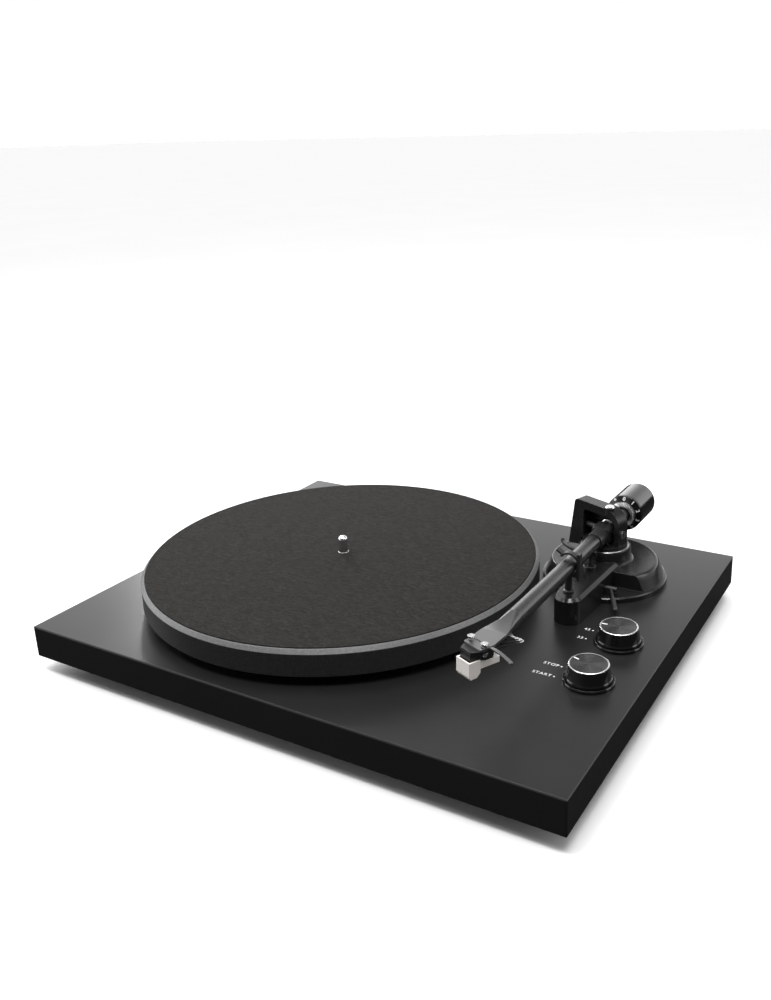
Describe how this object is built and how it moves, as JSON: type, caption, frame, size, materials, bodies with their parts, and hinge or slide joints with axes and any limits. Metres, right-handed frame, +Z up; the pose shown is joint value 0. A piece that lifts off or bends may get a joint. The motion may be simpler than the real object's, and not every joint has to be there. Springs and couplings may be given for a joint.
{
  "type": "turntable record player",
  "caption": "Belt-drive record player with a slab plinth, felt-covered platter, gimbal tonearm with counterweight and cueing lift, and rotary start and speed controls.",
  "frame": {"origin": "centre of the plinth footprint, on the plane the feet stand on", "axes": "+X to the right seen from the front, +Y to the back, +Z up"},
  "size_m": [0.415, 0.34, 0.0959],
  "materials": {
    "plinth_black": "satin black lacquer on board",
    "cover_black": "matte",
    "dark_screw": "black oxide",
    "rubber": "matte",
    "steel": "turned",
    "brass": "turned",
    "motor_can": "zinc plated",
    "board_green": "lacquered circuit board",
    "white_plastic": "satin",
    "black_plastic": "satin",
    "gold": "gold plated",
    "chrome": "polished",
    "dark_metal": "satin",
    "gloss_black": "gloss",
    "arm_base_black": "semi-gloss",
    "platter_metal": "dark satin, fine speckle",
    "felt": "felt",
    "knob_metal": "spun, dark, with a bright edge",
    "yoke_black": "satin",
    "arm_metal": "satin dark anodised",
    "headshell_metal": "satin dark anodised",
    "ivory": "satin",
    "lead_skin": "satin",
    "weight_black": "black anodised",
    "dial_metal": "turned, printed scale"
  },
  "bodies": {
    "base": {"plinth": "plinth_black", "bottom_cover": "cover_black", "cover_screws": "dark_screw", "feet": "rubber", "foot_screws": "steel", "bearing_housing": "brass", "thrust_ball": "steel", "motor": "motor_can", "motor_plate": "motor_can", "motor_grommets": "rubber", "motor_screws": "steel", "drive_belt": "rubber", "control_board": "board_green", "board_spacers": "white_plastic", "preamp_board": "board_green", "rear_panel": "cover_black", "rca_jacks": "gold", "rca_insulators": "white_plastic", "ground_post": "chrome", "power_inlet": "black_plastic", "preamp_switch": "dark_metal", "knob_bezels": "gloss_black", "rotary_switches": "dark_metal", "tonearm_base": "arm_base_black", "base_ring": "chrome", "lift_cylinder": "black_plastic", "arm_clip": "black_plastic"},
    "platter": {"platter": "platter_metal", "sub_platter": "white_plastic", "spindle": "chrome", "felt_mat": "felt"},
    "pulley": {"motor_shaft": "steel", "motor_pulley": "brass"},
    "start_knob_body": {"start_knob": "gloss_black", "start_knob_cap": "knob_metal", "start_shaft": "steel"},
    "speed_knob_body": {"speed_knob": "gloss_black", "speed_knob_cap": "knob_metal", "speed_shaft": "steel"},
    "ground_nut_body": {"ground_nut": "chrome"},
    "preamp_slider_body": {"preamp_slider": "white_plastic"},
    "yoke_body": {"yoke": "yoke_black", "pivot_shaft": "steel", "pivot_screws": "chrome"},
    "antiskate_body": {"antiskate_dial": "black_plastic"},
    "arm": {"arm_housing": "arm_metal", "arm_tube": "arm_metal", "headshell": "headshell_metal", "headshell_screws": "chrome", "finger_lift": "headshell_metal", "cartridge_body": "black_plastic", "cartridge_pins": "gold", "stylus_holder": "ivory", "cantilever": "steel", "headshell_leads": "lead_skin"},
    "guard": {"stylus_guard": "ivory"},
    "counterweight_body": {"counterweight": "weight_black"},
    "dial_body": {"dial_ring": "dial_metal"},
    "lift_bar_body": {"lift_bar": "black_plastic"},
    "lift_lever_body": {"lift_lever": "black_plastic"}
  },
  "joints": [
    {"name": "platter_spin", "type": "hinge", "parent": "base", "child": "platter", "pos_m": [-0.046, -0.01, 0.05], "axis": [0, 0, 1], "continuous": true},
    {"name": "pulley_spin", "type": "hinge", "parent": "base", "child": "pulley", "pos_m": [-0.127, 0.071, 0.048], "axis": [0, 0, 1], "continuous": true},
    {"name": "start_turn", "type": "hinge", "parent": "base", "child": "start_knob_body", "pos_m": [0.174, -0.057, 0.04], "axis": [0, 0, 1], "range_deg": [0, 32]},
    {"name": "speed_turn", "type": "hinge", "parent": "base", "child": "speed_knob_body", "pos_m": [0.174, -0.003, 0.04], "axis": [0, 0, -1], "range_deg": [0, 31]},
    {"name": "ground_nut_turn", "type": "hinge", "parent": "base", "child": "ground_nut_body", "pos_m": [0.06, 0.1577, 0.0226], "axis": [0, 1, 0], "continuous": true},
    {"name": "preamp_switch_slide", "type": "slide", "parent": "base", "child": "preamp_slider_body", "axis": [1, 0, 0], "range_m": [0, 0.0034]},
    {"name": "arm_swing", "type": "hinge", "parent": "base", "child": "yoke_body", "pos_m": [0.128, 0.09, 0.075], "axis": [0, 0, -1], "range_deg": [0, 44]},
    {"name": "arm_tilt", "type": "hinge", "parent": "yoke_body", "child": "arm", "pos_m": [0.128, 0.09, 0.075], "axis": [-0.9511, 0.309, 0], "range_deg": [0, 1.9]},
    {"name": "antiskate_turn", "type": "hinge", "parent": "yoke_body", "child": "antiskate_body", "pos_m": [0.13261, 0.0864, 0.093], "axis": [0, 0, 1], "range_deg": [0, 270]},
    {"name": "counterweight_turn", "type": "hinge", "parent": "arm", "child": "counterweight_body", "pos_m": [0.1284, 0.08998, 0.074], "axis": [-0.0209, 0.9992, -0.0332], "continuous": true},
    {"name": "dial_turn", "type": "hinge", "parent": "counterweight_body", "child": "dial_body", "pos_m": [0.1284, 0.08998, 0.074], "axis": [-0.0209, 0.9992, -0.0332], "continuous": true},
    {"name": "guard_slide", "type": "slide", "parent": "arm", "child": "guard", "axis": [-0.4067, -0.913, 0.03], "range_m": [0, 0.012]},
    {"name": "lift_bar_slide", "type": "slide", "parent": "base", "child": "lift_bar_body", "axis": [0, 0, 1], "range_m": [0, 0.0012]},
    {"name": "lift_lever_turn", "type": "hinge", "parent": "base", "child": "lift_lever_body", "pos_m": [0.147, 0.0526, 0.0456], "axis": [-1, 0, 0], "range_deg": [0, 60]}
  ],
  "couplings": [
    {"joint": "pulley_spin", "follows": "platter_spin", "ratio": 10.714},
    {"joint": "lift_bar_slide", "follows": "arm_tilt", "m_per_rad": 0.031},
    {"joint": "lift_lever_turn", "follows": "arm_tilt", "ratio": 30}
  ]
}
